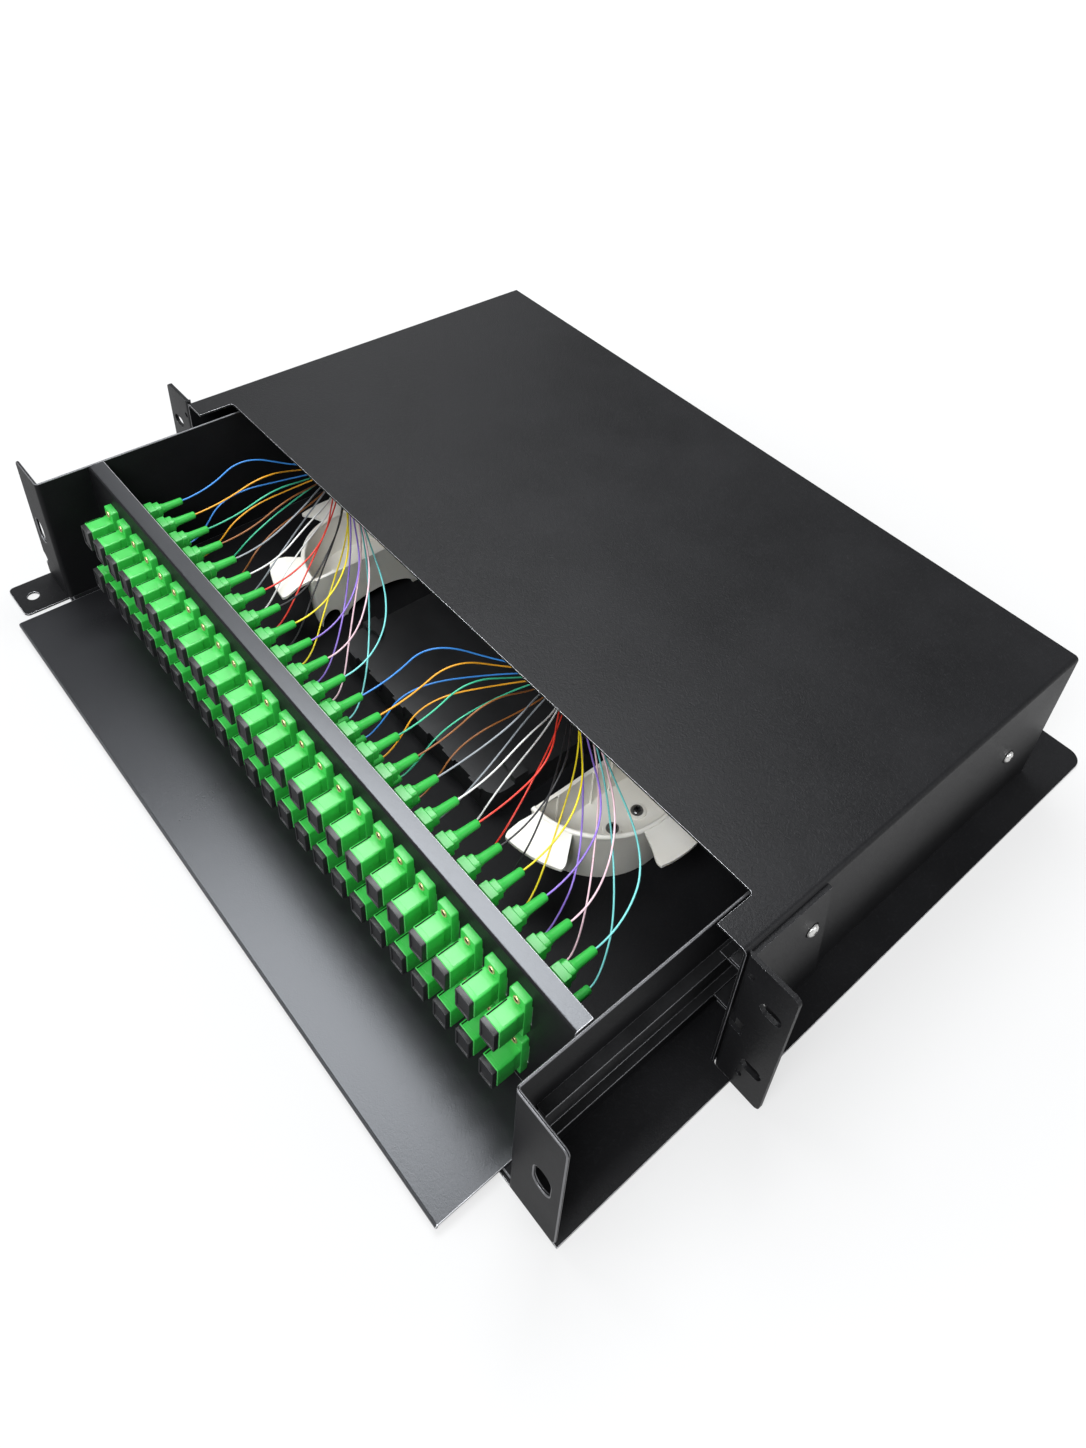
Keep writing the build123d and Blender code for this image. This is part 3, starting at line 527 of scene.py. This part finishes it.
def panHead(shape):
    height, arm, reach = screw["height"], screw["arm"], screw["reach"]
    dome = [(screw["radius"] - inset, lift) for inset, lift in screw["dome"]] + [(screw["drive"], height)]
    loft(shape, headRings(dome), 0, (True, False))
    rimVerts = [vert for vert in shape.verts if abs(vert.co.z - height * mm) < weld]
    border = [link for link in shape.edges if link.verts[0] in rimVerts and link.verts[1] in rimVerts]
    cross = []
    for x, y in ((1, 0), (0, 1), (-1, 0), (0, -1)):  # each arm of the cross, then the corner after it
        along, across = Vector((x, y)), Vector((-y, x))
        cross += [reach * along - arm * across, reach * along + arm * across, arm * along + arm * across]
    top = [shape.verts.new(Vector((*point, height)) * mm) for point in cross]
    floorZ = height - screw["deep"]
    foot = [shape.verts.new(Vector((*(screw["narrowing"] * point), floorZ)) * mm) for point in cross]
    for k in range(len(cross)):
        border.append(shape.edges.new((top[k - 1], top[k])))
    bmesh.ops.triangle_fill(shape, edges=border, use_beauty=True)
    for k in range(len(cross)):
        # the recess walls and floor take slot 1, painted shade
        shape.faces.new((top[k - 1], top[k], foot[k], foot[k - 1])).material_index = 1
    shape.faces.new(foot).material_index = 1


def shadeRingHead(shape):
    panHead(shape)
    outer, inner, rise = screw["ring"], screw["shadeRingInside"], screw["shadeRingRise"]
    # a flat ring of painted shade round the head (slot 1)
    loft(shape, headRings(((outer, 0.0), (outer, rise), (inner, rise))), 1, (True, False))


def sidePlaces(name):
    places = []
    for low, high in solidsOf(name):
        spot = (low + high) / 2
        side = 1 if spot.x > 0 else -1
        seat = max(-low.x, high.x) - screw["height"]
        places.append(at(side * seat, spot.y, spot.z) @ Matrix.Rotation(radians(90 * side), 4, "Y"))
    return places


def topPlaces(name):
    places = []
    for low, high in solidsOf(name):
        spot = (low + high) / 2
        turned = Matrix.Rotation(screw["turn"] * spot.y, 4, "Z")
        places.append(at(spot.x, spot.y, high.z - screw["height"]) @ turned)
    return places


shadeRingShape = template(shadeRingHead)
for name in ("bracket_screws", "slide_screws"):
    repeat(name + "Heads", shadeRingShape, sidePlaces(name), (nickel, paintedShade), name)
repeat("guide_screwsHeads", template(panHead), topPlaces("guide_screws"), (screwSteel, paintedShade), "guide_screws")
print("screws made")

# Cable grommets, measured from their middle; front and rear hold radius and depth below the face
grommet = {"rim": 13.4, "waist": 10.9, "half": 2.8, "wall": 0.7, "sides": 32, "sharp": 50,
           "front": ((7.37, 0.9), (11.8, 0.0), (12.9, 0.2), (13.4, 1.0)),
           "rear": ((13.4, 0.9), (12.9, 0.2), (11.8, 0.0), (10.05, 0.7), (7.37, 0.9), (4.02, 0.5))}


def grommetPlug(shape):
    outer, waist, half, wall = [grommet[key] for key in ("rim", "waist", "half", "wall")]
    profile = [(radius, depth - half) for radius, depth in grommet["front"]]
    profile += [(outer, -wall), (waist, -wall), (waist, wall), (outer, wall)]
    profile += [(radius, half - depth) for radius, depth in grommet["rear"]]
    loft(shape, [circle(radius, y, grommet["sides"]) for radius, y in profile])


grommetPlaces = [at(*middleOf(corners)) for corners in solidsOf("cable_grommets")]
plugShape = template(grommetPlug)
repeat("cableGrommetPlugs", plugShape, grommetPlaces, (rubber,), "cable_grommets", grommet["sharp"])

# Splice sleeves
sleeve = {"radius": 1.1, "length": 30.0, "tip": 0.77, "tipLength": 0.4, "sides": 10}


def spliceSleeve(shape):
    radius, length, tip, tipLength = [sleeve[key] for key in ("radius", "length", "tip", "tipLength")]
    profile = ((tip, 0), (radius, tipLength), (radius, length - tipLength), (tip, length))
    loft(shape, [circle(size, y, sleeve["sides"]) for size, y in profile])


sleevePlaces = []
for low, high in solidsOf("splice_sleeves"):
    sleevePlaces.append(at((low.x + high.x) / 2, low.y, (low.z + high.z) / 2))
repeat("spliceSleeveRows", template(spliceSleeve), sleevePlaces, (clear,), "splice_sleeves")
print("grommets and sleeves made")

# Fibres and bundles
fibre = {"diameter": 0.9, "start": solidsOf("boots_upper")[0][1].y, "spread": 0.66, "layer": 1.2,
         "mouth": {"left": -158.0, "right": 50.0}, "mouthY": 75.0, "mouthZ": 48.0, "straight": 15.0,
         "bow": 10.0, "crestBow": 0.8, "settledBow": 0.2, "settledShare": 0.58, "settledBack": 40.0,
         "stray": 3.0, "strayTurn": 3.7, "liftTurn": 2.1, "crestLift": 2.0, "settledLift": 0.5}
rises = {"upper": {"lead": 15.0, "crestY": 40.0, "crest": 10.0, "settled": 9.0, "share": 0.20, "layer": 1.5},
         "lower": {"lead": 6.0, "crestY": 25.0, "crest": 20.5, "settled": 3.0, "share": 0.18, "layer": -0.5}}
bundle = {"diameter": 9.0, "ports": {"left": -48.0, "right": -18.0}, "portZ": 10.0, "lead": 16.0,
          "tail": 20.0, "corners": 6}
fibreColours = {"blue": (0.05, 0.27, 0.75), "orange": (0.93, 0.42, 0.03), "green": (0.06, 0.54, 0.31),
                "brown": (0.30, 0.11, 0.03), "slate": (0.32, 0.35, 0.38), "white": (0.90, 0.90, 0.88),
                "red": (0.80, 0.05, 0.03), "black": (0.02, 0.02, 0.022), "yellow": (0.92, 0.74, 0.02),
                "violet": (0.31, 0.19, 0.70), "rose": (0.89, 0.61, 0.68), "aqua": (0.20, 0.68, 0.66)}
jacketLook = {"patch": 45, "grain": 1800, "relief": 0.00003, "rough": (0.24, 0.38), "speck": 0.25}
jacketTint = {"deeper": 0.7, "lighter": 1.15, "lift": 0.02, "most": 0.9}


def fibrePoints(column, row):
    half = columns // 2
    number = column % half
    rise = rises[row]
    x, z, start, mouthY = columnPlaces[column], rows[row], fibre["start"], fibre["mouthY"]
    mouthX = fibre["mouth"]["left" if column < half else "right"]
    endX = mouthX + (number - (half - 1) / 2) * fibre["spread"]
    endZ = fibre["mouthZ"] + (rise["layer"] - number % 2) * fibre["layer"]
    sway = endX - x
    bow = -fibre["bow"] * sway / (abs(sway) + fibre["bow"])
    lift = sin(fibre["liftTurn"] * column)
    aside = fibre["stray"] * sin(fibre["strayTurn"] * column + z)
    crestX = x + fibre["crestBow"] * bow + rise["share"] * sway + aside
    crestZ = z + rise["crest"] + fibre["crestLift"] * lift
    settledX = x + fibre["settledBow"] * bow + fibre["settledShare"] * sway - aside
    settledZ = endZ + rise["settled"] + fibre["settledLift"] * lift
    return [(x, start, z), (x, start + rise["lead"], z),
            (crestX, start + rise["crestY"], crestZ),
            (settledX, mouthY - fibre["settledBack"], settledZ),
            (endX, mouthY - fibre["straight"], endZ), (endX, mouthY, endZ)]


def bundlePoints(half):
    start, port, corners = fibre["mouth"][half], bundle["ports"][half], bundle["corners"]
    turn = pi / corners
    reach = (port - start) / 2 / cos(turn / 2)
    middleX = (start + port) / 2
    middleY = fibre["mouthY"] + bundle["lead"] - abs(reach) * sin(turn / 2)
    points = [(start, fibre["mouthY"], fibre["mouthZ"])]
    for k in range(corners):
        angle = (k + 0.5) * turn
        sunk = (1 - cos(pi * k / (corners - 1))) / 2
        z = fibre["mouthZ"] + sunk * (bundle["portZ"] - fibre["mouthZ"])
        points.append((middleX - reach * cos(angle), middleY + abs(reach) * sin(angle), z))
    points.append((port, points[-1][1] - bundle["tail"], bundle["portZ"]))
    return points


def splineLength(points, steps=40):
    spots = [Vector(point) * mm for point in points]
    spans = len(spots) - 2
    total = 0.0
    last = spots[0]
    for k in range(spans):
        first = spots[0] if k == 0 else (spots[k] + spots[k + 1]) / 2
        final = spots[-1] if k == spans - 1 else (spots[k + 1] + spots[k + 2]) / 2
        for step in range(1, steps + 1):
            t = step / steps
            spot = first * (1 - t) ** 2 + spots[k + 1] * 2 * t * (1 - t) + final * t ** 2
            total += (spot - last).length
            last = spot
    return total


laidCords = []


def runCord(name, points, diameter, material, node):
    curve = bpy.data.curves.new(name, "CURVE")
    curve.dimensions = "3D"
    curve.bevel_depth = diameter / 2 * mm
    curve.bevel_resolution = 2
    curve.resolution_u = 10
    curve.use_fill_caps = True
    spline = curve.splines.new("NURBS")
    spline.points.add(len(points) - 1)
    for spot, point in zip(spline.points, points):
        spot.co = (*(Vector(point) * mm), 1)
    spline.order_u = 3
    spline.use_endpoint_u = True
    made = settle(bpy.data.objects.new(name, curve), (material,), node)
    laidCords.append((splineLength(points), made, Vector(points[0]) * mm, diameter * mm))


for number, (tint, colour) in enumerate(fibreColours.items()):
    deeper = [jacketTint["deeper"] * value for value in colour]
    raised = [jacketTint["lighter"] * value + jacketTint["lift"] for value in colour]
    lighter = [min(jacketTint["most"], value) for value in raised]
    jacket = surface(tint + "Jacket", {**jacketLook, "colour": colour, "second": deeper, "fleck": lighter})
    for row in rows:
        for column in (number, number + columns // 2):
            name = tint + row.capitalize() + str(column + 1)
            runCord(name, fibrePoints(column, row), fibre["diameter"], jacket, "fibres_" + tint)
for half in ("left", "right"):
    runCord(half + "Bundle", bundlePoints(half), bundle["diameter"], wrap, "fibre_bundle_" + half)
laidCords.sort(key=lambda cord: (-cord[3], -cord[0]))  # thickest first, then longest
print("fibres laid", len(laidCords))

# Floor: white to the camera, shaded a little near the panel
ground = {"half": 6.0, "z": -0.0002, "grey": 0.2, "rough": 0.9, "gloss": 0.65, "reach": (0.25, 1.0),
          "glow": (0.63, 0.95)}
square = ((-1, -1), (1, -1), (1, 1), (-1, 1))
corners = [(x * ground["half"], y * ground["half"], ground["z"]) for x, y in square]
floorMesh = bpy.data.meshes.new("floor")
floorMesh.from_pydata(corners, [], [(0, 1, 2, 3)])
floor = bpy.data.objects.new("floor", floorMesh)
bpy.context.scene.collection.objects.link(floor)
floorPaint = bpy.data.materials.new("paleFloor")
floorPaint.use_nodes = True
floorShader = floorPaint.node_tree.nodes["Principled BSDF"]
floorShader.inputs["Base Color"].default_value = (ground["grey"], ground["grey"], ground["grey"], 1)
floorShader.inputs["Roughness"].default_value = ground["rough"]
floorShader.inputs["Specular IOR Level"].default_value = 0.0
floorShader.inputs["Emission Strength"].default_value = 1.0
here = Wire(floorPaint.node_tree).node("ShaderNodeTexCoord", None, None, "Object")
away = here.node("ShaderNodeVectorMath", {"operation": "LENGTH"}, {0: here}, "Value")
onCamera, onGloss, onGlass = [here.node("ShaderNodeLightPath", None, None, "Is " + ray + " Ray")
                              for ray in ("Camera", "Glossy", "Transmission")]
seen = onCamera + ground["gloss"] * onGloss + onGlass
feed(seen * spread(away, *ground["reach"], *ground["glow"]), floorShader, "Emission Color")
floorMesh.materials.append(floorPaint)

# Backdrop: white to the camera, a dim grey light to the panel
backdrop = {"light": (0.2, 0.2, 0.2, 1), "seen": (1, 1, 1, 1), "strength": 1.0}
world = bpy.data.worlds.new("studio")
world.use_nodes = True
sky = world.node_tree.nodes["Background"]
sky.inputs["Strength"].default_value = backdrop["strength"]
onCamera = Wire(world.node_tree).node("ShaderNodeLightPath", None, None, "Is Camera Ray")
feed(blend(onCamera, backdrop["light"], backdrop["seen"]), sky, "Color")
bpy.context.scene.world = world

# Soft studio lights, in metres and watts
lampColour = (0.96, 0.98, 1.0)
lamps = {"keyLight": {"place": (-0.46, 0.16, 1.3), "target": (0, -0.05, 0.03), "size": (1.2, 0.7),
                      "power": 19},
         "backLight": {"place": (-1.9, 1.1, 1.3), "target": (0, 0.1, 0.05), "size": (1.2, 1.2), "power": 5},
         "edgeLight": {"place": (-0.9, -1.5, 0.75), "target": (0, 0, 0.05), "size": (1.6, 0.5), "power": 12},
         "frontLight": {"place": (0.45, -0.9, 1.3), "target": (0, 0, 0.03), "size": (0.8, 0.8), "power": 22},
         "fillLight": {"place": (1.5, 0.5, 0.9), "target": (0, 0, 0.05), "size": (1.2, 1.2), "power": 9}}
for name, lamp in lamps.items():
    light = bpy.data.lights.new(name, "AREA")
    light.shape = "ELLIPSE"
    light.size, light.size_y = lamp["size"]
    light.energy = lamp["power"]
    light.color = lampColour
    made = bpy.data.objects.new(name, light)
    made.location = lamp["place"]
    aim = Vector(lamp["target"]) - Vector(lamp["place"])
    made.rotation_euler = aim.to_track_quat("-Z", "Y").to_euler()
    bpy.context.scene.collection.objects.link(made)

# Camera, fitted to the photograph
view = {"place": (0.3182, -0.2069, 0.4661), "forward": (-0.534, 0.547, -0.645),
        "right": (0.666, 0.742, 0.079), "lens": 28.07, "sensor": 36, "shift": (-0.0377, -0.1361),
        "near": 0.01}
lens = bpy.data.cameras.new("photoCamera")
lens.sensor_width = view["sensor"]
lens.lens = view["lens"]
lens.shift_x, lens.shift_y = view["shift"]
lens.clip_start = view["near"]
camera = bpy.data.objects.new("photoCamera", lens)
forward = Vector(view["forward"]).normalized()
upward = Vector(view["right"]).cross(forward).normalized()
sideways = forward.cross(upward)
turned = Matrix((sideways, upward, -forward)).transposed().to_4x4()
camera.matrix_world = Matrix.Translation(view["place"]) @ turned
bpy.context.scene.collection.objects.link(camera)
bpy.context.scene.camera = camera
bpy.context.scene.view_settings.view_transform = "Standard"
print("studio set")
